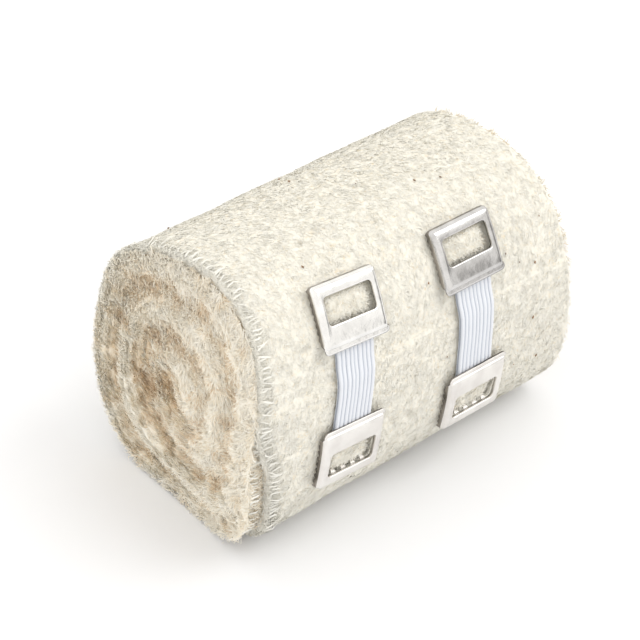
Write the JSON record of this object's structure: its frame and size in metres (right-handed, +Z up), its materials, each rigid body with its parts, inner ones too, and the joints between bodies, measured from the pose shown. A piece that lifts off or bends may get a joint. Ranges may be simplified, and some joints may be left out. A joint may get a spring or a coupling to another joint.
{
  "type": "crepe bandage roll",
  "caption": "Soft napped cotton crepe bandage wound into a roll lying on its side, its free end held down by elastic clips with stamped metal heads",
  "frame": {"origin": "on the resting surface, under the middle of the object's box", "axes": "+X runs along the roll from the spiral end that shows to the far end, -Y is the side with the clips, +Z is up"},
  "size_m": [0.0806, 0.0566, 0.056],
  "materials": {
    "cotton_crepe": "matt, napped cotton with loose fibres",
    "white_elastic": "ribbed woven elastic",
    "stamped_metal": "bright stamped sheet"
  },
  "bodies": {
    "root": {"bandage_roll": "cotton_crepe", "clip_1_upper_head": "stamped_metal", "clip_1_elastic": "white_elastic", "clip_1_lower_head": "stamped_metal", "clip_2_upper_head": "stamped_metal", "clip_2_elastic": "white_elastic", "clip_2_lower_head": "stamped_metal"}
  },
  "joints": []
}
